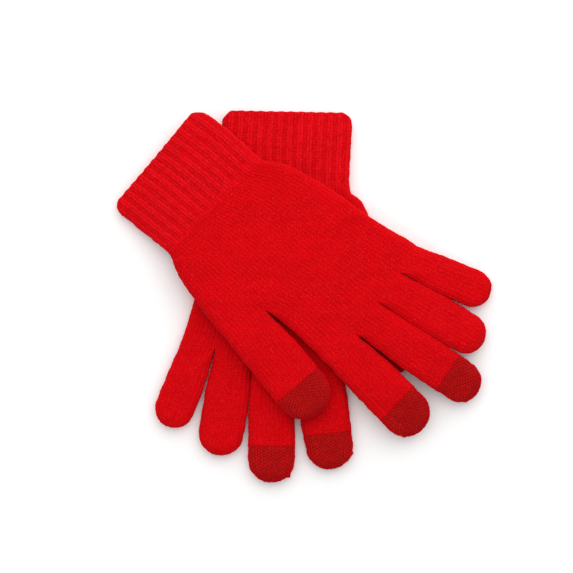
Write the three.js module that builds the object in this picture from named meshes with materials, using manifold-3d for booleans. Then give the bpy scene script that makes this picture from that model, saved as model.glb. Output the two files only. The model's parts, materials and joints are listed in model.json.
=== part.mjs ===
// A pair of knitted touchscreen gloves, one lying across the other. Millimetres, +Z up.
//
// Each glove is one outline, extruded with rounded rims into an outer body, less a smaller
// body for the hollow. It is then cut along its knitting changes into welt, cuff, hand, thumb,
// fingers and conductive tips. The upper glove is draped over the lower one.

import * as THREE from 'three';
import { TessellateModifier } from 'three/addons/modifiers/TessellateModifier.js';
import { mergeVertices } from 'three/addons/utils/BufferGeometryUtils.js';
import Module from 'manifold-3d';

const wasm = await Module();
wasm.setup();

// Fabric
const THICKNESS = 10; // of a flat glove: two walls and the air between them
const WALL = 2;
const RIM = 5; // depth of the rounded edge all round
const GAP = 0.3; // between neighbouring pieces
const WELT_LENGTH = 5.5;
const MOUTH_CORNER = [[-0.8, 7.5], [1.5, 3], [4.2, 1], [7.5, 0.15]]; // how far in each side is, along from it
const CROTCH = 0.8; // width of the slit between two fingers at its root

// Layout: where each glove's mouth is, and which way the glove points
const SPREAD = 16.6; // degrees of each glove's heading from the nearest axis
const UPPER_MOUTH = [-107.5, 48.1];
const LOWER_MOUTH = [-45.8, 101.2];

// Drape of the upper glove
const LIE_GAP = 0.5; // between the lower glove's top and the upper glove
const FLAT_MARGIN = 5; // the drape is level this far past the lower glove's edge
const FALL = 45; // and comes down to the table over this length
const DRAPE_EDGE = 15; // longest triangle edge on the draped glove

const COLOURS = { knit: 0xb5121b, rib: 0xa80f18, welt: 0x9c0e16, tip: 0x7d1620 };

// Plan coordinates of a glove: first along the hand, with its mouth at mouthStart, then across it,
// positive on the thumb's side. The side lists run from the cuff to the fingers.
const UPPER = {
  name: 'upper',
  mouth: UPPER_MOUTH,
  heading: -SPREAD,
  thumbTurn: -1,
  mouthStart: -5.7,
  mouthSkew: -5.8,
  cuffEnd: [[50.1, -45], [35, 48]],
  knuckles: 153.6,
  crotches: [15.4, -7.4, -29],
  sideLittle: [[13, -39.4], [22, -39.2], [34, -38], [48, -36.4], [56, -39.6], [66, -43.2], [92, -45.8],
    [124, -45.8], [149, -48]],
  sideThumb: [[5, 39.5], [13, 40.2], [23, 40.6], [36.5, 41.6], [46.3, 47.3], [54, 50.9], [64, 54.3], [78, 59]],
  palmEdge: [[120, 35.6], [137, 37.9], [153.6, 40.8]],
  thumbCrotch: [101.7, 35],
  thumbRoot: [[94.4, 63.1], [101.7, 35]],
  fingers: {
    thumb: { tip: [148.8, 61.8], radius: 16, cap: 6 },
    index: { tip: [205.8, 36.5], radius: 14.2, cap: 8.6 },
    middle: { tip: [221.6, 2.3], radius: 12.4, cap: 9.9 },
    ring: { tip: [207.4, -23], radius: 12.2 },
    little: { tip: [195.6, -46.6], radius: 10.9 },
  },
};

const LOWER = {
  name: 'lower',
  mouth: LOWER_MOUTH,
  heading: SPREAD - 90,
  thumbTurn: 1,
  mouthStart: 0,
  mouthSkew: -1.2,
  cuffEnd: [[47.5, -48], [45.5, 48]],
  knuckles: 142.4,
  crotches: [8.1, -14.7, -36.9],
  sideLittle: [[10, -38.6], [20, -39], [33, -38.2], [47, -37], [55, -40], [66, -43.8], [92, -46.6], [114, -50.7],
    [128, -54.2]],
  sideThumb: [[8.5, 39.6], [18, 39.5], [34, 39.2], [45.5, 39.8], [50, 44.8], [56, 49.4], [66, 53.4], [79, 58.6]],
  palmEdge: [[110, 35.4], [126, 36.2], [142.4, 38.2]],
  thumbCrotch: [98, 35],
  thumbRoot: [[86.6, 61.2], [98, 35]],
  fingers: {
    thumb: { tip: [139.3, 66.6], radius: 15.4, cap: 6.2 },
    index: { tip: [198.1, 33.3], radius: 14.1, cap: 8 },
    middle: { tip: [207.6, -0.9], radius: 14.2, cap: 8.2 },
    ring: { tip: [193.3, -31.5], radius: 13.4 },
    little: { tip: [179.6, -59.8], radius: 11.7 },
  },
};

const CONDUCTIVE = ['thumb', 'index', 'middle'];
const PIECE_NAMES = { thumb: 'thumb', index: 'index_finger', middle: 'middle_finger', ring: 'ring_finger',
  little: 'little_finger' };

// ---- plan geometry ----

const point = ([along, across]) => new THREE.Vector2(along, across);

// The middle of a finger's root, from the two crotches on either side of it.
function rootOf(glove, finger) {
  if (finger === 'thumb') {
    const [outer, inner] = glove.thumbRoot.map(point);
    return outer.add(inner).multiplyScalar(0.5);
  }
  const edges = [glove.palmEdge.at(-1)[1], ...glove.crotches, glove.sideLittle.at(-1)[1] - 0.4];
  const n = ['index', 'middle', 'ring', 'little'].indexOf(finger);
  return new THREE.Vector2(glove.knuckles, (edges[n] + edges[n + 1]) / 2);
}

function directionOf(glove, finger) {
  return point(glove.fingers[finger].tip).sub(rootOf(glove, finger)).normalize();
}

// The round end of a finger, from its little-finger side to its thumb side.
function fingerEnd(glove, finger, segments = 8) {
  const { tip, radius } = glove.fingers[finger];
  const facing = directionOf(glove, finger).angle();
  const end = new THREE.EllipseCurve(tip[0], tip[1], radius, radius, facing - Math.PI / 2, facing + Math.PI / 2);
  return end.getPoints(segments);
}

function smooth(points, segments) {
  return new THREE.SplineCurve(points.map(point)).getSpacedPoints(segments);
}

// The glove's outline, counter-clockwise, with the mouth carried on past its edge by `past`.
function gloveOutline(glove, past) {
  const tilt = Math.tan(THREE.MathUtils.degToRad(glove.mouthSkew));
  const little = glove.sideLittle[0];
  const thumb = glove.sideThumb[0];
  const atMouth = (across, along) => new THREE.Vector2(glove.mouthStart + along + tilt * across, across);
  const outline = [
    atMouth(little[1] + MOUTH_CORNER[0][1], -past),
    ...MOUTH_CORNER.map(([along, inwards]) => atMouth(little[1] + inwards, along)),
    ...smooth(glove.sideLittle, 14),
  ];
  const crotch = (across) => [
    new THREE.Vector2(glove.knuckles, across - CROTCH / 2),
    new THREE.Vector2(glove.knuckles, across + CROTCH / 2),
  ];
  const [indexMiddle, middleRing, ringLittle] = glove.crotches;
  outline.push(...fingerEnd(glove, 'little'), ...crotch(ringLittle));
  outline.push(...fingerEnd(glove, 'ring'), ...crotch(middleRing));
  outline.push(...fingerEnd(glove, 'middle'), ...crotch(indexMiddle));
  outline.push(...fingerEnd(glove, 'index'));
  outline.push(...glove.palmEdge.map(point).reverse(), point(glove.thumbCrotch));
  outline.push(...fingerEnd(glove, 'thumb'));
  outline.push(point(glove.thumbRoot[0]));
  outline.push(...smooth(glove.sideThumb, 12).reverse());
  outline.push(...MOUTH_CORNER.toReversed().map(([along, inwards]) => atMouth(thumb[1] - inwards, along)));
  outline.push(atMouth(thumb[1] - MOUTH_CORNER[0][1], -past));
  return outline;
}

// Plan to frame: `along` runs on the glove's heading, `across` to the side its thumb is on.
function placed(glove, [along, across]) {
  const heading = THREE.MathUtils.degToRad(glove.heading);
  const forward = new THREE.Vector2(Math.cos(heading), Math.sin(heading));
  const sideways = new THREE.Vector2(-forward.y, forward.x).multiplyScalar(glove.thumbTurn);
  return point(glove.mouth).addScaledVector(forward, along).addScaledVector(sideways, across);
}

const placedOutline = (glove, points) => points.map((p) => placed(glove, [p.x, p.y]));

// ---- solids ----

function toManifold(geometry) {
  const bare = geometry.clone();
  bare.deleteAttribute('normal');
  bare.deleteAttribute('uv');
  const merged = mergeVertices(bare, 1e-4);
  const index = Array.from(merged.index.array);
  const triangles = [];
  for (let i = 0; i < index.length; i += 3) {
    const [a, b, c] = index.slice(i, i + 3);
    if (a !== b && b !== c && c !== a) triangles.push(a, b, c);
  }
  return new wasm.Manifold(new wasm.Mesh({
    numProp: 3,
    vertProperties: new Float32Array(merged.attributes.position.array),
    triVerts: new Uint32Array(triangles),
  }));
}

function toGeometry(manifold) {
  const mesh = manifold.getMesh();
  const geometry = new THREE.BufferGeometry();
  geometry.setAttribute('position', new THREE.BufferAttribute(new Float32Array(mesh.vertProperties), 3));
  geometry.setIndex(new THREE.BufferAttribute(new Uint32Array(mesh.triVerts), 1));
  return geometry;
}

// A plate over the outline with rounded rims, `inset` smaller all round, from z = low to high.
function roundedPlate(outline, inset, rim, low, high) {
  const halfHeight = (high - low) / 2;
  const land = 0.3;
  const geometry = new THREE.ExtrudeGeometry(new THREE.Shape(outline), {
    depth: 2 * land,
    bevelEnabled: true,
    bevelThickness: halfHeight - land,
    bevelSize: rim,
    bevelOffset: -rim - inset,
    bevelSegments: 3,
    curveSegments: 1,
  });
  geometry.translate(0, 0, low + halfHeight - land);
  return toManifold(geometry);
}

function prism(points) {
  const geometry = new THREE.ExtrudeGeometry(new THREE.Shape(points), { depth: 40, bevelEnabled: false });
  geometry.translate(0, 0, -15);
  return toManifold(geometry);
}

function gloveShell(glove) {
  const outer = roundedPlate(placedOutline(glove, gloveOutline(glove, 8)), 0, RIM, 0, THICKNESS);
  const inner = roundedPlate(placedOutline(glove, gloveOutline(glove, 20)), WALL, RIM - 1, WALL, THICKNESS - WALL);
  return outer.subtract(inner);
}

// ---- cuts ----

// The four-sided region that starts at a line across the glove and runs on along `direction`.
function beyond(glove, from, to, direction, length) {
  const [a, b] = [point(from), point(to)];
  const along = direction.clone().multiplyScalar(length);
  const corners = [a, b, b.clone().add(along), a.clone().add(along)];
  return prism(placedOutline(glove, corners));
}

// Where a finger's straight side ends at its round tip; `side` is 1 on the thumb's side, -1 on the other.
function sideEnd(glove, finger, side) {
  const { tip, radius } = glove.fingers[finger];
  const normal = directionOf(glove, finger).rotateAround(new THREE.Vector2(), Math.PI / 2);
  return point(tip).addScaledVector(normal, side * radius);
}

// A line that starts at a crotch and runs between two neighbouring sides.
function slitLine(start, oneSide, otherSide, length) {
  const middle = oneSide.clone().add(otherSide).multiplyScalar(0.5);
  const run = middle.sub(start).normalize().multiplyScalar(length);
  return [start, start.clone().add(run)];
}

// A finger's own region: from its root line to past its tip, bounded by the slits beside it.
function fingerRegion(glove, finger) {
  const far = 90;
  const clear = 30;
  if (finger === 'thumb') {
    const [outer, inner] = glove.thumbRoot.map(point);
    const direction = directionOf(glove, finger);
    const across = outer.clone().sub(inner).normalize();
    const ahead = direction.clone().multiplyScalar(GAP);
    const palm = point(glove.palmEdge.at(-1));
    const slit = slitLine(inner.add(ahead), palm, sideEnd(glove, finger, -1), far);
    const outside = outer.add(ahead).addScaledVector(across, 6);
    return prism(placedOutline(glove, [...slit, outside.clone().addScaledVector(direction, far), outside]));
  }
  const names = ['index', 'middle', 'ring', 'little'];
  const n = names.indexOf(finger);
  const start = (k) => new THREE.Vector2(glove.knuckles + GAP, glove.crotches[k]);
  const slit = (k) => slitLine(start(k), sideEnd(glove, names[k], -1), sideEnd(glove, names[k + 1], 1), far);
  const root = rootOf(glove, finger).setX(glove.knuckles + GAP);
  const beside = (side) => [0, far].map((along) => root.clone().add(new THREE.Vector2(along, side * clear)));
  const thumbSide = n > 0 ? slit(n - 1) : beside(1);
  const littleSide = n < 3 ? slit(n) : beside(-1);
  return prism(placedOutline(glove, [...littleSide, ...thumbSide.reverse()]));
}

// The region past the line where the conductive cap begins, `back` short of the tip's centre.
function capRegion(glove, finger, offset) {
  const { tip, cap } = glove.fingers[finger];
  const direction = directionOf(glove, finger);
  const across = direction.clone().rotateAround(new THREE.Vector2(), Math.PI / 2);
  const middle = point(tip).addScaledVector(direction, offset - cap);
  const from = middle.clone().addScaledVector(across, -40);
  const to = middle.clone().addScaledVector(across, 40);
  return beyond(glove, from.toArray(), to.toArray(), direction, 60);
}

// The region ahead of the line through two points, along the glove.
function ahead(glove, [a, b], offset) {
  const shifted = [a, b].map(([along, across]) => [along + offset, across]);
  return beyond(glove, shifted[0], shifted[1], new THREE.Vector2(1, 0), 300);
}

function cutGlove(glove) {
  const shell = gloveShell(glove);
  const tilt = Math.tan(THREE.MathUtils.degToRad(glove.mouthSkew));
  const skewed = (along) => [-110, 110].map((across) => [glove.mouthStart + along + across * tilt, across]);
  const wide = (line) => {
    const [a, b] = line.map(point);
    const run = b.clone().sub(a);
    return [a.clone().sub(run).toArray(), b.clone().add(run).toArray()];
  };
  const cuffEnd = wide(glove.cuffEnd);
  const cut = (body, region) => body.subtract(region);

  const pieces = {};
  pieces.welt = cut(shell.intersect(ahead(glove, skewed(0), 0)), ahead(glove, skewed(WELT_LENGTH), 0));
  pieces.cuff = cut(shell.intersect(ahead(glove, skewed(WELT_LENGTH), GAP)), ahead(glove, cuffEnd, 0));

  let hand = shell.intersect(ahead(glove, cuffEnd, GAP));
  for (const finger of Object.keys(glove.fingers)) {
    const region = fingerRegion(glove, finger);
    const digit = hand.intersect(region);
    hand = hand.subtract(region);
    if (CONDUCTIVE.includes(finger)) {
      pieces[PIECE_NAMES[finger]] = cut(digit, capRegion(glove, finger, 0));
      pieces[`${finger}_tip`] = digit.intersect(capRegion(glove, finger, GAP));
    } else {
      pieces[PIECE_NAMES[finger]] = digit;
    }
  }
  pieces.hand = trimHand(glove, hand);
  return pieces;
}

// The hand stops at the knuckle line and at the thumb's root line.
function trimHand(glove, hand) {
  const knuckles = ahead(glove, [[glove.knuckles, -110], [glove.knuckles, 110]], 0);
  const direction = directionOf(glove, 'thumb');
  const [outer, inner] = glove.thumbRoot.map(point);
  const across = outer.clone().sub(inner).normalize();
  const from = inner.clone().addScaledVector(across, -0.4).toArray();
  const to = outer.clone().addScaledVector(across, 8).toArray();
  return hand.subtract(knuckles).subtract(beyond(glove, from, to, direction, 12));
}

// ---- drape ----

// How far (x, y) lies outside a closed outline; 0 inside it.
function distanceOutside(outline, x, y) {
  const here = new THREE.Vector2(x, y);
  const nearest = new THREE.Vector3();
  let inside = false;
  let least = Infinity;
  for (let i = 0; i < outline.length; i += 1) {
    const a = outline[i];
    const b = outline[(i + 1) % outline.length];
    if (a.y > y !== b.y > y && x < a.x + ((y - a.y) / (b.y - a.y)) * (b.x - a.x)) inside = !inside;
    const edge = new THREE.Line3(new THREE.Vector3(a.x, a.y, 0), new THREE.Vector3(b.x, b.y, 0));
    edge.closestPointToPoint(new THREE.Vector3(x, y, 0), true, nearest);
    least = Math.min(least, here.distanceTo(nearest));
  }
  return inside ? 0 : least;
}

function drapeHeight(outline, x, y) {
  const fall = (distanceOutside(outline, x, y) - FLAT_MARGIN) / FALL;
  return (THICKNESS + LIE_GAP) * (1 - THREE.MathUtils.smoothstep(fall, 0, 1));
}

function draped(geometry, outline) {
  const fine = mergeVertices(new TessellateModifier(DRAPE_EDGE, 8).modify(geometry), 1e-4);
  const position = fine.attributes.position;
  for (let i = 0; i < position.count; i += 1) {
    const rise = drapeHeight(outline, position.getX(i), position.getY(i));
    position.setZ(i, position.getZ(i) + rise);
  }
  return fine;
}

// ---- assembly ----

function materialOf(piece) {
  const isTip = piece.endsWith('_tip');
  const kind = isTip ? 'tip' : { welt: 'welt', cuff: 'rib' }[piece] ?? 'knit';
  return new THREE.MeshStandardMaterial({ color: COLOURS[kind], roughness: isTip ? 0.9 : 0.95, metalness: 0 });
}

function gloveGroup(glove, drapeOver) {
  const group = new THREE.Group();
  for (const [piece, solid] of Object.entries(cutGlove(glove))) {
    const flat = toGeometry(solid);
    const geometry = drapeOver ? draped(flat, drapeOver) : flat;
    const shown = geometry.toNonIndexed();
    shown.computeVertexNormals();
    const mesh = new THREE.Mesh(shown, materialOf(piece));
    mesh.name = `${glove.name}_${piece}`;
    group.add(mesh);
  }
  return group;
}

const group = new THREE.Group();
group.add(gloveGroup(LOWER));
group.add(gloveGroup(UPPER, placedOutline(LOWER, gloveOutline(LOWER, 0))));

// The frame's origin is the bottom centre of the whole pair.
const box = new THREE.Box3().setFromObject(group);
const centre = box.getCenter(new THREE.Vector3());
group.position.set(-centre.x, -centre.y, -box.min.z);

export default group;
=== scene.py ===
import json
import math

import bmesh
import bpy
import numpy as np
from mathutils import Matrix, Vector


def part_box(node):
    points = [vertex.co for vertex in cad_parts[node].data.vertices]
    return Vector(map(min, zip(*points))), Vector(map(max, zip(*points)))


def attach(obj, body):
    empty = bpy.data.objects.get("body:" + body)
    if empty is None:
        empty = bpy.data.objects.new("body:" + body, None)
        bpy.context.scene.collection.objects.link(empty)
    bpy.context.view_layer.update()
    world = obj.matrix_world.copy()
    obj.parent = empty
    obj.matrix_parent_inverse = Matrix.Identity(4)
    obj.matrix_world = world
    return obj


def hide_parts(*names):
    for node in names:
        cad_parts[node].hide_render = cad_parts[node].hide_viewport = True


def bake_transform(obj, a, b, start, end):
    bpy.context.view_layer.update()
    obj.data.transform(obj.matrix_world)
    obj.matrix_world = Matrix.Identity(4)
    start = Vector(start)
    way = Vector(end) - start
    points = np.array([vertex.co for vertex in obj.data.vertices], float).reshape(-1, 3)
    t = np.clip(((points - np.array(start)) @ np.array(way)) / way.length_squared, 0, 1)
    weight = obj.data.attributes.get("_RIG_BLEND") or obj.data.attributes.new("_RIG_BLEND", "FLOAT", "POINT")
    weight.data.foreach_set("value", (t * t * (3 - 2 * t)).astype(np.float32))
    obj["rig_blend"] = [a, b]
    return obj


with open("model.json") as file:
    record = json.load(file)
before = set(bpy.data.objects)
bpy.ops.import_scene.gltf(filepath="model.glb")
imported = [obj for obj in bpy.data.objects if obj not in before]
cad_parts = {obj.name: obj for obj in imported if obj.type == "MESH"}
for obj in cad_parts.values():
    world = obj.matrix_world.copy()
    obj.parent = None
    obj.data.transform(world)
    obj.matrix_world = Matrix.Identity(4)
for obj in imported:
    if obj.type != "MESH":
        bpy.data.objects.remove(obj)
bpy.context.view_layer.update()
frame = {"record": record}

MM = 0.001

# ---- the knit, in millimetres ----

COURSE = 1.8  # height of a stitch
ROWS = 3  # mesh rows in a course, a horizontal line of stitches
COLUMNS_PER_WALE = 6.4  # mesh columns in a wale, a vertical line of stitches, 2.5 mm wide on the hand
PALM_COLUMNS = 220  # across one face of the hand, from its little-finger side to the thumb's root
THUMB_COLUMNS = 84
WEB_COLUMNS = 12  # added at a crotch, on each side of the slit and on each face
FINGER_COLUMNS = {"little": (0, 56), "ring": (56, 108), "middle": (108, 164), "index": (164, 232)}
CUFF_COLUMNS = PALM_COLUMNS + THUMB_COLUMNS
RIBS = 14  # across one face of the cuff
RIB_WALES = 3  # two raised, one sunk
CUFF_SQUEEZE = RIBS * RIB_WALES * COLUMNS_PER_WALE / CUFF_COLUMNS  # the rib's wales are narrower
RIB_DEPTH = 0.38
WALE_DEPTH = 0.2
COURSE_DEPTH = 0.04
TUFT = 0.035  # how uneven the yarn is
RIM = 4.9  # depth of the rounded edge of the hand
FINGER_RIM = 7.0
WEB_LENGTH = 13  # over which a slit's sides become round
SWELL = 1.0  # how far a finger's side at a slit stands out from the straight
SKIN = 0.45  # between the CAD's face and the middle of the stitches
LINING = 1.9  # the wall that shows at the cuff's mouth
WELT = 5.5
CORNER = 7.5  # radius of the cuff's corners
CORNER_FADE = 20  # the courses are straight again this far from the mouth
SCALLOP = 0.15  # how far each rib stands out at the mouth
SCALLOP_FADE = 5
TIP_FINENESS = 1.6  # how many times narrower the stitches of the tips are
STITCH_SLANT = 1.1  # how far the legs of each V slant, in courses for each wale
RIB_FADE = 6  # courses over which the ribs turn into plain knit, centred on the rib's end
CUFF_LITTLE_EDGE = -37.5  # the cuff's sides at the rib's end, across
CUFF_THUMB_EDGE = 40
SWELL_RISE = 2.2  # how soon after a crotch the swell is full
OUTER_SWELL = 0.3  # the swell's share on a side with no slit
TIP_REACH = 1.35  # surface length of a round tip, in radii
TIP_POWER = 0.94  # below 1, a tip is a little fuller than a circle
TIP_LEAST = 0.25  # half the thickness at a tip's last row
KNOB_SIZE = 1.1
WAVES = ((9, 5, 0.22), (3, 6, 0.1))  # unevenness of the surface: scale, seed and height
CLOTH_WAVE = (38, 0.35)  # the slow rise and fall of the whole cloth: scale and height
OWN_YARN_EDGE = (0.4, 0.3)  # the share of a tip's height at which its own yarn shows, and the fade above it
OWN_YARN_COURSES = 1.2  # how much of a tip's start still shows the glove's own yarn
WRIST_BEND = 16  # length of cloth that takes up a bend
KNUCKLE_BEND = 12
LINING_GAP = 8  # mesh rows left without a lining at the rib's end
END_REACH = 0.012  # metres from a digit's end to its open ring, at most

# ---- one glove's pattern, in millimetres: along from the mouth, across towards the thumb ----

UPPER = {
    "name": "upper", "mouth": -3.5, "skew": -4.9, "cuff_end": ((50.1, -45), (35, 48)),
    "knuckles": 153.6, "crotches": (-29, -7.4, 15.4), "crotch_row": 104,
    "little_side": ((9, -39.3), (22, -39.2), (34, -38), (48, -36.4), (56, -39.6), (66, -43.2), (92, -45.8),
                    (124, -45.8), (149, -48)),
    "thumb_side": ((2, 39.4), (13, 40.2), (23, 40.6), (36.5, 41.6), (46.3, 47.3), (54, 50.9), (64, 54.3),
                   (78, 59), (94.4, 63.1)),
    "palm_edge": ((101.7, 35), (120, 35.6), (137, 37.9), (153.6, 40.8)),
    "thumb": ((148.8, 61.8), 16, 6), "index": ((205.8, 36.5), 14.2, 8.6), "middle": ((221.6, 2.3), 12.4, 9.9),
    "ring": ((207.4, -23), 12.2, None), "little": ((195.4, -47.2), 11.2, None),
}
LOWER = {
    "name": "lower", "mouth": 1, "skew": -1.2, "cuff_end": ((47.5, -48), (45.5, 48)),
    "knuckles": 142.4, "crotches": (-36.9, -14.7, 8.1), "crotch_row": 99,
    "little_side": ((10, -38.6), (20, -39), (33, -38.2), (47, -37), (55, -40), (66, -43.8), (92, -46.6),
                    (114, -50.7), (128, -54.2), (142.4, -58.4)),
    "thumb_side": ((8.5, 39.6), (18, 39.5), (34, 39.2), (45.5, 39.8), (50, 44.8), (56, 49.4), (66, 53.4),
                   (79, 58.6), (86.6, 61.2)),
    "palm_edge": ((98, 35), (110, 35.4), (126, 36.2), (142.4, 38.2)),
    "thumb": ((139.3, 66.6), 15.4, 6.2), "index": ((198.1, 33.3), 14.1, 8),
    "middle": ((207.6, -0.9), 13.9, 8.2),
    "ring": ((193.3, -31.5), 13.4, None), "little": ((179.6, -59.8), 11.7, None),
}
KNOBS = {  # where a yarn's end stands out on the thumb side: how far before the tip's end, and how tall
    ("lower", "middle"): (11, 1.7), ("lower", "index"): (15, 1.1),
    ("upper", "middle"): (9, 0.9), ("upper", "index"): (12, 0.8),
}


# ---- plan geometry ----

def smooth_curve(points, steps=16):
    """A Catmull-Rom curve through the points, as many short steps."""
    p = np.array(points, float)
    p = np.vstack([2 * p[0] - p[1], p, 2 * p[-1] - p[-2]])
    t = np.linspace(0, 1, steps, endpoint=False)[:, None]
    parts = []
    for a, b, c, d in zip(p, p[1:], p[2:], p[3:]):
        parts.append(0.5 * (2 * b + (c - a) * t + (2 * a - 5 * b + 4 * c - d) * t**2
                            + (3 * b - a - 3 * c + d) * t**3))
    return np.vstack(parts + [p[-2][None]])


def at_along(points, along):
    """The points of a side curve at these distances along the glove."""
    curve = smooth_curve(points)
    return np.stack([along, np.interp(along, curve[:, 0], curve[:, 1])], axis=-1)


def ease(t):
    t = np.clip(t, 0, 1)
    return t * t * (3 - 2 * t)


def mix(a, b, t):
    return a + (b - a) * t


def rounding(depth, height):
    """The length of a quarter ellipse."""
    return math.pi / 4 * (3 * (depth + height) - math.sqrt((3 * depth + height) * (depth + 3 * height)))


def half_ring(a, b, rim_a, rim_b, height, share):
    """One face of a flat tube's section between the plan points a and b, with a rounded edge of its own depth
    at each. share is each column's place along it, from 0 to 1. Gives (along, across, height) points."""
    a, b = np.asarray(a, float), np.asarray(b, float)
    width = max(float(np.hypot(*(b - a))), 1e-6)
    rim_a, rim_b = min(rim_a, width / 2), min(rim_b, width / 2)
    turn_a, turn_b = rounding(rim_a, height), rounding(rim_b, height)
    flat = width - rim_a - rim_b
    s = share * (turn_a + flat + turn_b)
    angle_a = np.clip(s / turn_a, 0, 1) * math.pi / 2
    angle_b = np.clip((turn_a + flat + turn_b - s) / turn_b, 0, 1) * math.pi / 2
    x = rim_a * (1 - np.cos(angle_a)) + np.clip(s - turn_a, 0, flat) + rim_b * np.cos(angle_b)
    z = height * np.minimum(np.sin(angle_a), np.sin(angle_b))
    plan = a + (x / width)[:, None] * (b - a)
    return np.column_stack([plan, z])


def ring(top):
    """A whole section: the upper face from a to b and the lower face back, as its mirror image."""
    under = top[-2:0:-1] * (1, 1, -1)
    return np.vstack([top, under])


def columns(count):
    return np.arange(count + 1)


# ---- one glove as rings of points ----

class Tube:
    """Rings of (along, across, height) points, and the wale and course of each point."""

    def __init__(self, first_column):
        self.first_column = first_column
        self.rings, self.courses, self.squeezes = [], [], []

    def add(self, top, course, squeeze=1.0):
        self.rings.append(ring(top))
        self.courses.append(course)
        self.squeezes.append(squeeze)

    def finish(self):
        self.grid = np.array(self.rings)
        half = self.grid.shape[1] // 2
        across = np.concatenate([np.arange(half + 1), np.arange(half - 1, 0, -1)])
        wale = (self.first_column + across) / COLUMNS_PER_WALE
        self.wale = wale[None] * np.array(self.squeezes)[:, None]
        self.course = np.repeat(np.array(self.courses)[:, None], 2 * half, axis=1)
        return self


def row_count(length):
    return max(2, round(length / COURSE) * ROWS)


def cuff_rows(glove):
    """The ends of each row of the cuff, from the mouth to the rib's end."""
    tilt = math.tan(math.radians(glove["skew"]))
    (end_a, va), (end_b, vb) = glove["cuff_end"]
    slope = (end_b - end_a) / (vb - va)
    little, thumb = glove["little_side"], glove["thumb_side"]
    start_a = glove["mouth"] + tilt * little[0][1]
    start_b = glove["mouth"] + tilt * thumb[0][1]
    end_little = end_a + slope * (CUFF_LITTLE_EDGE - va)
    end_thumb = end_a + slope * (CUFF_THUMB_EDGE - va)
    t = np.linspace(0, 1, row_count(end_little - start_a) + 1)
    return at_along(little, mix(start_a, end_little, t)), at_along(thumb, mix(start_b, end_thumb, t))


def round_corners(top, gone):
    """Moves a cuff row's ends on from the mouth, so that the mouth's corners are round."""
    from_side = np.minimum(top[:, 1] - top[0, 1], top[-1, 1] - top[:, 1])
    short = np.clip(CORNER - from_side, 0, CORNER)
    corner = CORNER - np.sqrt(CORNER**2 - short**2)
    rib = np.cos(2 * math.pi * (columns(len(top) - 1) / len(top) * RIBS - 1 / RIB_WALES))
    top[:, 0] += corner * max(0, 1 - gone / CORNER_FADE) - rib * SCALLOP * max(0, 1 - gone / SCALLOP_FADE)
    return top


def build_tubes(glove, height):
    """The cuff, the hand's two stretches, the fingers and the thumb, as Tubes that share their end rows."""
    tubes = {}
    a, b = cuff_rows(glove)
    even = columns(CUFF_COLUMNS) / CUFF_COLUMNS
    cuff = Tube(0)
    for i, (p, q) in enumerate(zip(a, b)):
        top = half_ring(p, q, RIM, RIM, height, even)
        cuff.add(round_corners(top, i * COURSE / ROWS), i / ROWS, CUFF_SQUEEZE)
    tubes["cuff"] = cuff.finish()
    course = cuff.courses[-1]

    # wrist to crotch: the palm's columns and the thumb's, side by side
    width = np.hypot(*(b[-1] - a[-1]))
    around = 2 * rounding(RIM, height) + width - 2 * RIM
    palm_part = around * PALM_COLUMNS / CUFF_COLUMNS - rounding(RIM, height) + RIM
    seam_start = a[-1] + (b[-1] - a[-1]) * palm_part / width
    crotch = np.array(glove["palm_edge"][0], float)
    root = np.array(glove["thumb_side"][-1], float)
    rows = row_count(glove["crotch_row"] - a[-1][0])
    t = np.linspace(0, 1, rows + 1)
    left = at_along(glove["little_side"], mix(a[-1][0], glove["crotch_row"], t))
    right = at_along(glove["thumb_side"], mix(b[-1][0], root[0], t))
    seam = mix(seam_start, crotch, t[:, None])
    palm_even = columns(PALM_COLUMNS) / PALM_COLUMNS
    thumb_even = columns(THUMB_COLUMNS) / THUMB_COLUMNS
    breadth = np.hypot(*(seam - left).T) + np.hypot(*(seam - right).T)
    squeeze = mix(CUFF_SQUEEZE, 1, (breadth - breadth[0]) / (breadth[-1] - breadth[0]))
    lower_hand = Tube(0)
    for i in range(rows + 1):
        palm = open_half(left[i], seam[i], RIM, height, palm_even)
        gusset = open_half(right[i], seam[i], RIM, height, 1 - thumb_even)
        lower_hand.add(np.vstack([palm, gusset[1:]]), course + i / ROWS, squeeze[i])
    tubes["wrist_hand"] = lower_hand.finish()
    course = lower_hand.courses[-1]

    # crotch to knuckles
    rows = row_count(glove["knuckles"] - glove["crotch_row"])
    t = np.linspace(0, 1, rows + 1)
    left = at_along(glove["little_side"], mix(glove["crotch_row"], glove["knuckles"], t))
    right = at_along(glove["palm_edge"], mix(crotch[0], glove["knuckles"], t))
    marks = knuckle_marks(left[-1], right[-1], glove, height)
    upper_hand = Tube(0)
    count = PALM_COLUMNS + WEB_COLUMNS
    for i in range(rows + 1):
        rim = RIM * ease(i * COURSE / ROWS / WEB_LENGTH)
        total = half_length(left[i], right[i], RIM, rim, height)
        wall = rounding(0, height)
        start = np.interp(columns(count), [0, PALM_COLUMNS, count], [0, 1 - wall / total, 1])
        share = mix(start, np.interp(columns(count), marks[0], marks[1]), ease(t[i] * 1.2))
        upper_hand.add(half_ring(left[i], right[i], RIM, rim, height, share), course + i / ROWS)
    tubes["palm_hand"] = upper_hand.finish()

    for finger in FINGER_COLUMNS:
        tubes[finger] = finger_tube(glove, finger, height, left[-1], right[-1], upper_hand.courses[-1])
    tubes["thumb"] = thumb_tube(glove, height, crotch, root, course)
    share_rows(tubes, "grid")
    return tubes


def half_length(a, b, rim_a, rim_b, height):
    width = float(np.hypot(*(np.asarray(b) - np.asarray(a))))
    return rounding(rim_a, height) + width - rim_a - rim_b + rounding(rim_b, height)


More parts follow.
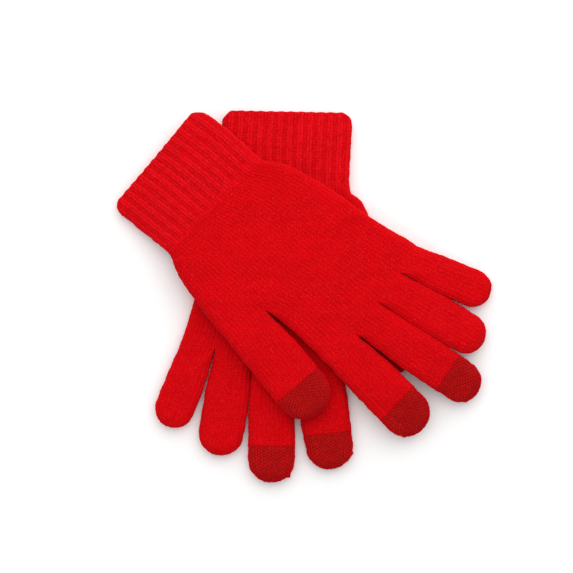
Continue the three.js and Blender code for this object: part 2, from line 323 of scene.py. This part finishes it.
def open_half(rim_point, inner_point, rim, height, share):
    """A section's part from a rounded edge to a point inside the glove, where it stays flat."""
    a, b = np.asarray(rim_point, float), np.asarray(inner_point, float)
    width = float(np.hypot(*(b - a)))
    turn = rounding(rim, height)
    s = share * (turn + width - rim)
    angle = np.clip(s / turn, 0, 1) * math.pi / 2
    x = rim * (1 - np.cos(angle)) + np.clip(s - turn, 0, None)
    plan = a + (x / width)[:, None] * (b - a)
    return np.column_stack([plan, height * np.sin(angle)])


def knuckle_marks(left, right, glove, height):
    """Which share of the knuckle row each finger's first column comes at."""
    total = half_length(left, right, RIM, RIM, height)
    turn = rounding(RIM, height) - RIM
    marks, shares = [0], [0.0]
    for (_, last), crotch in zip(FINGER_COLUMNS.values(), glove["crotches"]):
        marks.append(last)
        shares.append((crotch - left[1] + turn) / total)
    return marks + [PALM_COLUMNS + WEB_COLUMNS], shares + [1.0]


def finger_tube(glove, finger, height, left, right, course):
    first, last = FINGER_COLUMNS[finger]
    edges = [left[1], *glove["crotches"], right[1]]
    n = list(FINGER_COLUMNS).index(finger)
    a = np.array((glove["knuckles"], edges[n]))
    b = np.array((glove["knuckles"], edges[n + 1]))
    walls = (0 if n == 0 else WEB_COLUMNS, 0 if n == 3 else WEB_COLUMNS)
    return digit_tube(glove[finger], a, b, walls, last - first, first, height, course)


def thumb_tube(glove, height, crotch, root, course):
    walls = (WEB_COLUMNS, 0)
    return digit_tube(glove["thumb"], crotch, root, walls, THUMB_COLUMNS, PALM_COLUMNS, height, course)


def digit_tube(digit, a, b, walls, inner, first, height, course):
    """A finger or thumb: straight sides from its root to the round tip, then the tip."""
    tip, radius, _ = digit
    tip = np.array(tip, float)
    middle = (a + b) / 2
    forward = (tip - middle) / np.hypot(*(tip - middle))
    sideways = np.array((-forward[1], forward[0]))
    length = float(np.hypot(*(tip - middle)))
    count = sum(walls) + inner
    tube = Tube(first - walls[0])
    straight = row_count(length)
    for i in range(straight):
        t = i / straight
        gone = t * length
        out = math.sin(math.pi * t) * min(1, SWELL_RISE * t) * SWELL
        p = mix(a, tip - sideways * radius, t) - sideways * out * (1 if walls[0] else OUTER_SWELL)
        q = mix(b, tip + sideways * radius, t) + sideways * out * (1 if walls[1] else OUTER_SWELL)
        grow = ease(gone / WEB_LENGTH)
        rims = [FINGER_RIM * grow if wall else mix(RIM, FINGER_RIM, grow) for wall in walls]
        total = half_length(p, q, *rims, height)
        wall = rounding(0, height) / total
        marks = [0, walls[0], count - walls[1], count]
        shares = [0, wall * (walls[0] > 0), 1 - wall * (walls[1] > 0), 1]
        even = columns(count) / count
        share = mix(np.interp(columns(count), marks, shares), even, grow)
        tube.add(half_ring(p, q, *rims, height, share), course + i / ROWS)
    rounds = row_count(radius * TIP_REACH)
    for i in range(rounds):
        angle = math.pi / 2 * i / rounds
        centre = tip + forward * radius * math.sin(angle)
        half = radius * math.cos(angle) ** TIP_POWER
        left_over = radius * (1 - math.sin(angle))
        fall = math.sqrt(max(0.0, 1 - max(0.0, 1 - left_over / FINGER_RIM) ** 2))
        top = half_ring(centre - sideways * half, centre + sideways * half, FINGER_RIM, FINGER_RIM,
                        max(height * fall, TIP_LEAST), columns(count) / count)
        tube.add(top, course + (straight + i) / ROWS)
    tube.end = tip + forward * radius
    return tube.finish()


def face_columns(tube, start, stop):
    """The ring's indices from one column to another on the upper face, and of those on the lower face."""
    upper = np.arange(start, stop + 1)
    return upper, (-upper) % tube.grid.shape[1]


def share_rows(tubes, what):
    """Where two tubes meet, the later one's first row takes the earlier one's last points."""
    def copy(source, source_start, target, target_start, count):
        sources = face_columns(tubes[source], source_start, source_start + count)
        targets = face_columns(tubes[target], target_start, target_start + count)
        for s, t in zip(sources, targets):
            getattr(tubes[target], what)[0][t] = getattr(tubes[source], what)[-1][s]
    copy("cuff", 0, "wrist_hand", 0, CUFF_COLUMNS)
    copy("wrist_hand", 0, "palm_hand", 0, PALM_COLUMNS)
    copy("wrist_hand", PALM_COLUMNS, "thumb", WEB_COLUMNS, THUMB_COLUMNS)
    for finger, (first, last) in FINGER_COLUMNS.items():
        copy("palm_hand", first, finger, 0 if first == 0 else WEB_COLUMNS, last - first)


# ---- from the pattern to the frame ----

JOINTS = {j["name"]: j for j in frame["record"]["behaviour"]["joints"]}
LOWER_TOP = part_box("lower_hand")[1][2] / MM
UPPER_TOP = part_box("upper_hand")[1][2] / MM
LIFT = UPPER_TOP - LOWER_TOP  # how high the upper glove lies over the lower one
FLAT_MARGIN = 5
FALL = 45


def placement(glove):
    """The frame's place of the pattern's origin, and its two directions, from the knuckle joint."""
    name = glove["name"]
    joint = JOINTS[f"{name}_middle_bend"]
    sideways = Vector(joint["axis"]).normalized()
    forward = Vector((0, 0, 1)).cross(sideways)
    low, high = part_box(f"{name}_middle_tip")
    if ((low + high) / 2 - Vector(joint["pos_m"])).dot(forward) < 0:
        forward = -forward
    root = Vector(joint["pos_m"]) / MM
    across = sum(glove["crotches"][1:]) / 2
    origin = root - forward * glove["knuckles"] - sideways * across
    return np.array(origin[:2]), np.array(forward[:2]), np.array(sideways[:2])


def in_frame(glove, plan):
    origin, forward, sideways = placement(glove)
    return origin + plan[..., :1] * forward + plan[..., 1:2] * sideways


def outline(tubes, glove):
    """The glove's plan as one closed line in the frame, tip rows and all."""
    def side(tube, which):
        half = tube.grid.shape[1] // 2
        return tube.grid[::4, 0 if which == "a" else half, :2]
    line = [side(tubes["cuff"], "a"), side(tubes["wrist_hand"], "a"), side(tubes["palm_hand"], "a")]
    for finger in FINGER_COLUMNS:
        line += [side(tubes[finger], "a"), side(tubes[finger], "b")[::-1]]
    line += [side(tubes["palm_hand"], "b")[::-1], side(tubes["thumb"], "a"), side(tubes["thumb"], "b")[::-1]]
    line += [side(tubes["wrist_hand"], "b")[::-1], side(tubes["cuff"], "b")[::-1]]
    return in_frame(glove, np.vstack(line))


def outside_distance(line, points):
    """How far each point lies outside the closed line; 0 inside it."""
    least = np.full(len(points), np.inf)
    inside = np.zeros(len(points), bool)
    x, y = points[:, 0], points[:, 1]
    for a, b in zip(line, np.roll(line, -1, axis=0)):
        run = b - a
        size = max(float(run @ run), 1e-9)
        t = np.clip(((x - a[0]) * run[0] + (y - a[1]) * run[1]) / size, 0, 1)
        least = np.minimum(least, np.hypot(x - a[0] - t * run[0], y - a[1] - t * run[1]))
        if a[1] != b[1]:
            crosses = (a[1] > y) != (b[1] > y)
            inside ^= crosses & (x < a[0] + (y - a[1]) / (b[1] - a[1]) * run[0])
    return np.where(inside, 0, least)


def ripple(points, scale, seed):
    """Smooth unevenness between -1 and 1 over the plan, the same in each run."""
    rng = np.random.default_rng(seed)
    total = np.zeros(len(points))
    for _ in range(6):
        angle, phase = rng.uniform(0, 2 * math.pi, 2)
        pace = rng.uniform(0.6, 1.5) / scale
        total += np.sin(2 * math.pi * pace * (points[:, 0] * math.cos(angle) + points[:, 1] * math.sin(angle))
                        + phase)
    return total / 4


def dimples(glove):
    """Where the cloth dips, as (along, across, depth, size): at each slit's root, and in the upper palm."""
    found = [(glove["knuckles"], crotch, 1.3, 4.5) for crotch in glove["crotches"]]
    found.append((*glove["palm_edge"][0], 1.5, 6))
    if glove["name"] == "upper":
        found.append((76, -9, 1.5, 9))
    return found


def per_stitch(wale, course, seed):
    """A value between -1 and 1 for each stitch, the same in each run."""
    scattered = np.sin(np.floor(wale) * 127.1 + np.floor(course) * 311.7 + seed * 74.7) * 43758.5
    return 2 * (scattered - np.floor(scattered)) - 1


def relief(wale, course, rib, coarse, seed):
    """How far the stitches stand out: the legs of each V, courses, ribs and uneven yarn."""
    fine = wale * (1 + (TIP_FINENESS - 1) * coarse)
    wide = -np.cos(2 * math.pi * fine) * (0.65 + 0.15 * coarse)
    narrow = -np.cos(4 * math.pi * fine) * (0.35 - 0.25 * coarse)
    legs = wide + narrow
    slant = STITCH_SLANT * np.abs(wale - np.floor(wale) - 0.5)
    rows = -np.cos(2 * math.pi * (course + slant))
    plain = legs * WALE_DEPTH * (1 + 0.3 * coarse) + rows * COURSE_DEPTH * (1 - 0.6 * coarse)
    ribs = (np.cos(2 * math.pi * (wale - 1) / RIB_WALES) - 1) / 2 * RIB_DEPTH
    uneven = np.random.default_rng(seed).normal(0, 1, wale.shape) * TUFT
    return plain + ribs * rib + uneven + per_stitch(wale, course, seed) * (0.03 + 0.05 * coarse)


def rib_share(tubes, course):
    end = tubes["cuff"].courses[-1]
    return 1 - ease((course - end + RIB_FADE / 2) / RIB_FADE)


def knob(glove, tube, name):
    """A small lump on the side of a finger, where its yarn is fastened off."""
    if (glove["name"], name) not in KNOBS:
        return 0
    before_end, tall = KNOBS[glove["name"], name]
    half = tube.grid.shape[1] // 2
    side = tube.grid[:, half, :2]
    gone = np.hypot(*(side - tube.end).T)
    spot = tube.grid[int(np.argmin(np.abs(gone - before_end))), half]
    return tall * np.exp(-((tube.grid - spot) ** 2).sum(axis=2) / KNOB_SIZE**2)


def grid_normals(points):
    across = np.roll(points, -1, axis=1) - np.roll(points, 1, axis=1)
    along = np.gradient(points, axis=0)
    normal = np.cross(across, along)
    return normal / np.maximum(np.linalg.norm(normal, axis=2, keepdims=True), 1e-9)


def place_tube(glove, tubes, name, drape_over, seed):
    """The tube's grid in the frame, in millimetres, draped and knitted."""
    tube = tubes[name]
    rows, around, _ = tube.grid.shape
    flat = tube.grid.reshape(-1, 3)
    plan = in_frame(glove, flat[:, :2])
    rise = np.zeros(len(plan))
    if drape_over is not None:
        rise = LIFT * (1 - ease((outside_distance(drape_over, plan) - FLAT_MARGIN) / FALL))
    for along, across, depth, size in dimples(glove):
        near = np.exp(-((flat[:, 0] - along) ** 2 + (flat[:, 1] - across) ** 2) / size**2)
        rise -= near * depth * np.clip(flat[:, 2] / 4, 0, 1)
    scale, high = CLOTH_WAVE
    swell = ripple(plan, scale, 3 if drape_over is None else 4) * high
    z = LOWER_TOP / 2 + flat[:, 2] + rise + swell * (flat[:, 2] > 0)
    points = np.column_stack([plan, z]).reshape(rows, around, 3)
    normal = grid_normals(points)
    top = np.argmax(tube.grid[rows // 3, :, 2])
    if normal[rows // 3, top, 2] < 0:
        normal = -normal
    coarse = conductive(glove, name, tube)
    depth = relief(tube.wale, tube.course, rib_share(tubes, tube.course), coarse, seed)
    depth += knob(glove, tube, name)
    depth += sum(ripple(plan, scale, wave) * high for scale, wave, high in WAVES).reshape(rows, around)
    tube.points = points + normal * depth[..., None]
    tube.normal = normal
    tube.plain = plain_knit(tubes, tube, coarse)


def conductive(glove, name, tube):
    """1 over the rows of a tip that is knitted in conductive yarn, and 0 elsewhere."""
    coarse = np.zeros(tube.wale.shape)
    if name in FINGER_COLUMNS or name == "thumb":
        coarse[tip_row(glove, name, tube):] = 1 if glove[name][2] else 0
    return coarse


def tip_row(glove, name, tube):
    """The row at which a digit's conductive yarn starts: the last row where there is none."""
    tip, _, cap = glove[name]
    if not cap:
        return len(tube.course) - 1
    half = tube.grid.shape[1] // 2
    middle = tube.grid[:, [0, half], :2].mean(axis=1)
    forward = (tube.end - middle[0]) / np.hypot(*(tube.end - middle[0]))
    return int(np.argmin(np.abs((middle - np.array(tip)) @ forward + cap)))


def plain_knit(tubes, tube, coarse):
    """Where a tip shows the glove's own yarn: along its sides and its end, and in its first course.
    On the cuff, where its ribs fade out."""
    if tube is tubes["cuff"]:
        return 1 - rib_share(tubes, tube.course + 2)
    share = tube.grid[:, :, 2] / HEIGHT
    edge_start, edge_width = OWN_YARN_EDGE
    edge = 1 - ease((np.abs(share) - edge_start) / edge_width)
    gone = np.cumsum(coarse, axis=0) / ROWS
    return np.maximum(edge, 1 - ease(gone / OWN_YARN_COURSES))


# ---- meshes ----

def knit_mesh(name, parts, material, end=None):
    """One mesh from several (points, wale, course, plain yarn) grids, each closed round, merged where they
    meet. A digit's last ring is closed at its end."""
    vertices, faces, uvs, plain = [], [], [], []
    base = 0
    for points, wale, course, own_yarn in parts:
        rows, around, _ = points.shape
        vertices.append(points.reshape(-1, 3))
        plain.append(own_yarn.ravel())
        index = base + np.arange(rows * around).reshape(rows, around)
        corners = [index[:-1], np.roll(index, -1, axis=1)[:-1], np.roll(index, -1, axis=1)[1:], index[1:]]
        faces.append(np.stack(corners, axis=-1).reshape(-1, 4))
        place = np.stack([wale, course], axis=-1)
        after = np.roll(place, -1, axis=1)
        uvs.append(np.stack([place[:-1], after[:-1], after[1:], place[1:]], axis=2).reshape(-1, 2))
        base += rows * around
    vertices, faces, uvs = np.vstack(vertices) * MM, np.vstack(faces), np.vstack(uvs)
    mesh = bpy.data.meshes.new(name)
    mesh.vertices.add(len(vertices))
    mesh.vertices.foreach_set("co", vertices.ravel())
    mesh.loops.add(faces.size)
    mesh.loops.foreach_set("vertex_index", faces.ravel().astype(np.int32))
    mesh.polygons.add(len(faces))
    mesh.polygons.foreach_set("loop_start", np.arange(0, faces.size, 4, dtype=np.int32))
    mesh.polygons.foreach_set("loop_total", np.full(len(faces), 4, dtype=np.int32))
    mesh.polygons.foreach_set("use_smooth", np.ones(len(faces), bool))
    mesh.uv_layers.new(name="stitches").data.foreach_set("uv", uvs.ravel())
    mesh.attributes.new("plain_knit", "FLOAT", "POINT").data.foreach_set("value", np.concatenate(plain))
    mesh.update()
    mesh.validate()
    bm = bmesh.new()
    bm.from_mesh(mesh)
    bmesh.ops.remove_doubles(bm, verts=bm.verts, dist=1e-6)
    if end is not None:
        close_end(bm, end)
    bmesh.ops.recalc_face_normals(bm, faces=bm.faces)
    bm.to_mesh(mesh)
    bm.free()
    piece = bpy.data.objects.new(name, mesh)
    bpy.context.scene.collection.objects.link(piece)
    mesh.materials.append(material)
    return piece


def close_end(bm, end):
    """Gathers the open ring nearest to a point into that point."""
    target = Vector(end) * MM
    rim = [e for e in bm.edges if e.is_boundary and (e.verts[0].co - target).length < END_REACH]
    centre = bm.verts.new(sum((e.verts[0].co for e in rim), Vector()) / len(rim))
    centre[bm.verts.layers.float["plain_knit"]] = 1
    for edge in rim:
        bm.faces.new((edge.verts[0], edge.verts[1], centre)).smooth = True


# ---- materials ----

CLOUD_SCALE = 60.0  # noise scales, in cells for each metre: uneven dye, the unevenness of the rib's painted shade and highlight, and the painted highlights of hairs
BLOTCH_SCALE = 320.0
FLECK_SCALE = 800.0
HAIR_GLINT_SCALE = 1300.0
HAIR_SCALE = 2400.0
BUMP_HEIGHT = 0.0005


def node(tree, kind, inputs=None, **settings):
    made = tree.nodes.new(kind)
    for key, value in settings.items():
        setattr(made, key, value)
    for key, value in (inputs or {}).items():
        if isinstance(value, bpy.types.NodeSocket):
            tree.links.new(value, made.inputs[key])
        else:
            made.inputs[key].default_value = value
    return made


def maths(tree, operation, *values):
    return node(tree, "ShaderNodeMath", dict(enumerate(values)), operation=operation).outputs[0]


def noise(tree, place, scale, detail, roughness=0.5):
    inputs = {"Vector": place, "Scale": scale, "Detail": detail, "Roughness": roughness}
    return node(tree, "ShaderNodeTexNoise", inputs).outputs[0]


def clamp_range(tree, value, low, high, to_low, to_high):
    ends = {0: value, 1: low, 2: high, 3: to_low, 4: to_high}
    return node(tree, "ShaderNodeMapRange", ends).outputs[0]


def blend_colours(tree, share, first, second):
    return node(tree, "ShaderNodeMix", {0: share, 6: first, 7: second}, data_type="RGBA").outputs[2]


def stitch_height(tree, centre, fineness=1.0):
    """The height of plain stitches over the wale and course coordinates, from 0 to 1: a column of Vs.
    centre is how full the middle of each V is."""
    uv = node(tree, "ShaderNodeUVMap", uv_map="stitches").outputs[0]
    parts = node(tree, "ShaderNodeSeparateXYZ", {0: uv})
    wale, course = maths(tree, "MULTIPLY", parts.outputs[0], fineness), parts.outputs[1]
    from_middle = maths(tree, "ABSOLUTE", maths(tree, "SUBTRACT", maths(tree, "FRACT", wale), 0.5))
    slanted = maths(tree, "ADD", course, maths(tree, "MULTIPLY", from_middle, STITCH_SLANT))
    if fineness > 1:
        slanted = maths(tree, "MULTIPLY_ADD", maths(tree, "FLOOR", wale), 0.5, slanted)
    along = maths(tree, "SINE", maths(tree, "MULTIPLY", maths(tree, "FRACT", slanted), math.pi))
    across = maths(tree, "SINE", maths(tree, "MULTIPLY", from_middle, 2 * math.pi))
    leg = maths(tree, "POWER", maths(tree, "MAXIMUM", across, 0.0), 0.5)
    filled = maths(tree, "MAXIMUM", leg, maths(tree, "MULTIPLY_ADD", from_middle, -2 * centre, centre))
    return maths(tree, "MULTIPLY", maths(tree, "POWER", along, 0.35), filled)


def rib_colour(tree, body, groove_shade, highlight_colour, flecks):
    """Paints shade unevenly into the sunk wales, and paints a highlight along the middle line of each raised
    one.
    """
    uv = node(tree, "ShaderNodeUVMap", uv_map="stitches").outputs[0]
    wale = node(tree, "ShaderNodeSeparateXYZ", {0: uv}).outputs[0]
    turn = maths(tree, "MULTIPLY", maths(tree, "SUBTRACT", wale, 1.0), 2 * math.pi / RIB_WALES)
    raised = maths(tree, "COSINE", turn)
    place = node(tree, "ShaderNodeTexCoord").outputs["Object"]
    blotches = noise(tree, place, BLOTCH_SCALE, 2.0)
    mottle = maths(tree, "MULTIPLY_ADD", blotches, 3.0, maths(tree, "MULTIPLY", flecks, 1.5))
    uneven = maths(tree, "ADD", mottle, maths(tree, "SUBTRACT", raised, 2.15))
    # painted shade: the sunk wales take the groove shade colour, unevenly
    sunk_shade = clamp_range(tree, uneven, -0.9, 0.7, 0.55, 0.0)
    from_middle = maths(tree, "ABSOLUTE", maths(tree, "SUBTRACT", maths(tree, "FRACT", wale), 0.5))
    # painted highlight: a light line along the middle of each raised wale
    line = clamp_range(tree, from_middle, 0.1, 0.28, 0.14, 0.0)
    line_highlight = maths(tree, "MULTIPLY", line, clamp_range(tree, uneven, 0.2, 0.8, 0.0, 1.0))
    ribbed = blend_colours(tree, line_highlight, blend_colours(tree, sunk_shade, body, (*groove_shade, 1)), (*highlight_colour, 1))
    plain = node(tree, "ShaderNodeAttribute", attribute_name="plain_knit").outputs["Fac"]
    return blend_colours(tree, plain, ribbed, body)


def knit_material(name, colour, groove_shade, highlight_colour, centre=0.5, bump=0.5, speck=(0.88, 1.12), ribbed=False,
                  fineness=1.0):
    """Yarn: painted shade between the stitches, uneven dye, and painted highlights where short hairs catch
    the light.
    """
    material = bpy.data.materials.new(name)
    material.use_nodes = True
    tree = material.node_tree
    shader = tree.nodes["Principled BSDF"]
    height = stitch_height(tree, centre, fineness)
    place = node(tree, "ShaderNodeTexCoord").outputs["Object"]
    cloudy = noise(tree, place, CLOUD_SCALE, 3.0)
    flecks = noise(tree, place, FLECK_SCALE, 4.0, 0.7)
    hairs = noise(tree, place, HAIR_SCALE, 2.0)
    # painted shade: the colour falls to the groove shade colour where the stitches sink between each other
    depth = clamp_range(tree, height, 0.0, 0.75, 0.0, 1.0)
    body = blend_colours(tree, depth, (*groove_shade, 1), (*colour, 1))
    if ribbed:
        body = rib_colour(tree, body, groove_shade, highlight_colour, flecks)
    tint = clamp_range(tree, cloudy, 0.3, 0.7, 0.94, 1.05)
    spotted = clamp_range(tree, flecks, 0.3, 0.75, *speck)
    shade = maths(tree, "MULTIPLY", tint, spotted)
    shaded = node(tree, "ShaderNodeVectorMath", {0: body, 3: shade}, operation="SCALE").outputs[0]
    # painted highlights: scattered spots take the lighter highlight colour, standing in for short hairs that
    # catch the light
    hair_glint_noise = noise(tree, place, HAIR_GLINT_SCALE, 3.0)
    hair_glint = clamp_range(tree, hair_glint_noise, 0.52, 0.72, 0.0, 0.4)
    hair_glinted = blend_colours(tree, hair_glint, shaded, (*highlight_colour, 1))
    tree.links.new(hair_glinted, shader.inputs["Base Color"])
    yarn = maths(tree, "MULTIPLY_ADD", hairs, 0.35, height)
    lumpy = maths(tree, "MULTIPLY_ADD", flecks, 0.5, yarn)
    relief_node = node(tree, "ShaderNodeBump", {"Height": lumpy, "Strength": bump, "Distance": BUMP_HEIGHT})
    tree.links.new(relief_node.outputs[0], shader.inputs["Normal"])
    shader.inputs["Roughness"].default_value = 0.9
    shader.inputs["Specular IOR Level"].default_value = 0.04
    shader.inputs["Sheen Weight"].default_value = 0.3
    shader.inputs["Sheen Roughness"].default_value = 0.4
    shader.inputs["Sheen Tint"].default_value = (1.0, 0.03, 0.06, 1)
    return material


def tip_material(colour, groove_shade, tip_highlight, own):
    """Conductive yarn knitted with the glove's own: painted shade between the stitches, with a painted
    highlight dot on each leg.
    Where the plain_knit attribute is 1, the glove's own yarn shows."""
    material = knit_material("conductive_knit", colour, groove_shade, tip_highlight, centre=0.5, bump=0.5, speck=(0.6, 1.35),
                             fineness=TIP_FINENESS)
    tree = material.node_tree
    shader = tree.nodes["Principled BSDF"]
    yarn = shader.inputs["Base Color"].links[0].from_socket
    height = stitch_height(tree, 0.5, TIP_FINENESS)
    # painted highlight: the stitches' crowns take the light dot colour
    highlight_dots = clamp_range(tree, height, 0.72, 0.98, 0.0, 0.5)
    highlighted = blend_colours(tree, highlight_dots, yarn, (*tip_highlight, 1))
    own_yarn = node(tree, "ShaderNodeAttribute", attribute_name="plain_knit").outputs["Fac"]
    jagged = maths(tree, "MULTIPLY_ADD", height, 0.5, maths(tree, "SUBTRACT", own_yarn, 0.25))
    share = clamp_range(tree, jagged, 0.3, 0.7, 0.0, 1.0)
    mixed = blend_colours(tree, share, highlighted, (*own, 1))
    tree.links.new(mixed, shader.inputs["Base Color"])
    return material


# colours: the yarn, the painted shade between stitches, the painted highlight; the tip's fourth is the
# glove's own yarn
RED = knit_material("red_plain_knit", (0.59, 0.0005, 0.003), (0.43, 0.0002, 0.001), (0.82, 0.022, 0.03),
                    bump=0.4)
RIB = knit_material("red_rib_knit", (0.63, 0.001, 0.004), (0.46, 0.0003, 0.002), (0.85, 0.025, 0.04),
                    bump=0.4, ribbed=True)
TIP = tip_material((0.39, 0.001, 0.0015), (0.15, 0.0003, 0.0006), (0.66, 0.022, 0.022), (0.50, 0.001, 0.0035))


# ---- pieces ----

def show(piece, node_name):
    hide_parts(node_name)
    return piece


def part_of(tube, first, last):
    rows = slice(first, last + 1)
    return tube.points[rows], tube.wale[rows], tube.course[rows], tube.plain[rows]


def bend_zone(joint_name, outward, length, root):
    """Start and end of the fabric's bend, along the way that the moving piece points. It starts past the last
    stitch of the root row, so that a slanted seam stays closed."""
    pos = Vector(JOINTS[joint_name]["pos_m"])
    way = Vector((*outward, 0)).normalized()
    reach = max(0.0, float(((root * MM - np.array(pos)) @ np.array(way)).max()))
    start = pos + way * reach
    return start, start + way * length * MM


def lining(tube, first, last):
    """The inner face of the wall, seen from the mouth."""
    _, wale, course, plain = part_of(tube, first, last)
    rows = slice(first, last + 1)
    return tube.points[rows] - tube.normal[rows] * LINING, wale, course, plain


def build_cuff(glove, tubes):
    """The welt with its rolled lip, and the cuff that bends at the wrist."""
    name, tube = glove["name"], tubes["cuff"]
    split = round(WELT / COURSE) * ROWS
    outer = tube.points[:split + 1]
    inner = lining(tube, 0, split)[0]
    middle = mix(outer[0], inner[0], 0.5)
    reach = (outer[0] - inner[0]) * 0.5
    onward = (outer[0] - outer[2]) / np.linalg.norm(outer[0] - outer[2], axis=1, keepdims=True) * LINING * 0.5
    turns = [math.pi * 0.75, math.pi * 0.5, math.pi * 0.25]
    lip = [middle + reach * math.cos(angle) + onward * math.sin(angle) for angle in turns]
    points = np.concatenate([inner[::-1], lip, outer])
    course = np.concatenate([tube.course[split::-1], tube.course[[0, 0, 0]] - [[0.25], [0.5], [0.25]],
                             tube.course[:split + 1]])
    wale = np.repeat(tube.wale[:1], len(points), axis=0)
    welt = knit_mesh(f"{name}_welt_knit", [(points, wale, course, np.zeros(wale.shape))], RIB)
    show(welt, f"{name}_welt")
    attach(welt, f"{name}_cuff")

    last = len(tube.course) - 1
    walls = [part_of(tube, split, last), lining(tube, split, last - LINING_GAP)]
    cuff = knit_mesh(f"{name}_cuff_knit", walls, RIB)
    show(cuff, f"{name}_cuff")
    _, forward, _ = placement(glove)
    start, end = bend_zone(f"{name}_wrist_bend", -forward, WRIST_BEND, tube.points[last])
    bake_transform(cuff, f"{name}_hand", f"{name}_cuff", start=start, end=end)


def build_hand(glove, tubes):
    name = glove["name"]
    stretches = (tubes["wrist_hand"], tubes["palm_hand"])
    parts = [part_of(stretch, 0, len(stretch.course) - 1) for stretch in stretches]
    hand = knit_mesh(f"{name}_hand_knit", parts, RED)
    show(hand, f"{name}_hand")
    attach(hand, f"{name}_hand")


def build_digit(glove, tubes, digit):
    name, tube = glove["name"], tubes[digit]
    last = len(tube.course) - 1
    split = tip_row(glove, digit, tube)
    node_name = f"{name}_thumb" if digit == "thumb" else f"{name}_{digit}_finger"
    end = tube.points[-1].mean(axis=0)
    body = knit_mesh(f"{name}_{digit}_knit", [part_of(tube, 0, split)], RED, end if split == last else None)
    show(body, node_name)
    root, tip = in_frame(glove, np.array([tube.grid[0, :, :2].mean(axis=0), tube.end]))
    outward = tip - root
    start, finish = bend_zone(f"{name}_{digit}_bend", outward, KNUCKLE_BEND, tube.points[0])
    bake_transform(body, f"{name}_hand", f"{name}_{digit}", start=start, end=finish)
    if split < last:
        end_piece = knit_mesh(f"{name}_{digit}_tip_knit", [part_of(tube, split, last)], TIP, end)
        show(end_piece, f"{name}_{digit}_tip")
        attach(end_piece, f"{name}_{digit}")


def build_glove(glove, tubes, drape_over):
    for seed, name in enumerate(tubes):
        place_tube(glove, tubes, name, drape_over, seed)
    share_rows(tubes, "points")
    build_cuff(glove, tubes)
    build_hand(glove, tubes)
    for digit in (*FINGER_COLUMNS, "thumb"):
        build_digit(glove, tubes, digit)


HEIGHT = LOWER_TOP / 2 - SKIN
LOWER_TUBES = build_tubes(LOWER, HEIGHT)
UPPER_TUBES = build_tubes(UPPER, HEIGHT)
build_glove(LOWER, LOWER_TUBES, None)
build_glove(UPPER, UPPER_TUBES, outline(LOWER_TUBES, LOWER))


# ---- stage, light and camera ----

FLOOR_REACH = 3  # metres from the gloves to the floor's edge
VIEW_TURN = math.radians(18.9)  # from the frame's +Y to the view's up
LOOK_AT = (104.4, 16.6)  # on the upper glove's pattern
CAMERA_HEIGHT = 1.3
VIEW_WIDTH = 0.3438  # metres across the view, at the gloves
SENSOR = 36
KEY_PLACE = (0.05, 0.42, 0.5)
KEY_SIZE = 1.2
KEY_POWER = 4.7
SKY_STRENGTH = 0.78


def add_floor():
    mesh = bpy.data.meshes.new("floor")
    corners = [(FLOOR_REACH * x, FLOOR_REACH * y, 0) for x, y in ((-1, -1), (1, -1), (1, 1), (-1, 1))]
    mesh.from_pydata(corners, [], [(0, 1, 2, 3)])
    floor = bpy.data.objects.new("floor", mesh)
    bpy.context.scene.collection.objects.link(floor)
    material = bpy.data.materials.new("white_sweep")
    material.use_nodes = True
    shader = material.node_tree.nodes["Principled BSDF"]
    shader.inputs["Base Color"].default_value = (0.93, 0.93, 0.93, 1)
    shader.inputs["Roughness"].default_value = 0.9
    shader.inputs["Specular IOR Level"].default_value = 0.0
    mesh.materials.append(material)


def add_light(name, place, target, size, power):
    light = bpy.data.lights.new(name, "AREA")
    light.shape = "DISK"
    light.size = size
    light.energy = power
    made = bpy.data.objects.new(name, light)
    made.location = place
    made.rotation_euler = (Vector(target) - Vector(place)).to_track_quat("-Z", "Y").to_euler()
    bpy.context.scene.collection.objects.link(made)


def add_lights():
    def turned(x, y, z):
        c, s = math.cos(VIEW_TURN), math.sin(VIEW_TURN)
        return (c * x - s * y, s * x + c * y, z)
    add_light("key", turned(*KEY_PLACE), (0, 0, 0), KEY_SIZE, KEY_POWER)
    world = bpy.data.worlds.new("studio")
    bpy.context.scene.world = world
    world.use_nodes = True
    background = world.node_tree.nodes["Background"]
    background.inputs[0].default_value = (1, 1, 1, 1)
    background.inputs[1].default_value = SKY_STRENGTH


def add_camera():
    camera = bpy.data.cameras.new("camera")
    camera.sensor_width = SENSOR
    camera.lens = SENSOR * CAMERA_HEIGHT / VIEW_WIDTH
    made = bpy.data.objects.new("camera", camera)
    x, y = in_frame(UPPER, np.array(LOOK_AT))
    made.location = (x * MM, y * MM, CAMERA_HEIGHT)
    made.rotation_euler = (0, 0, VIEW_TURN)
    bpy.context.scene.collection.objects.link(made)
    bpy.context.scene.camera = made


add_floor()
add_lights()
add_camera()
bpy.context.scene.view_settings.view_transform = "Standard"
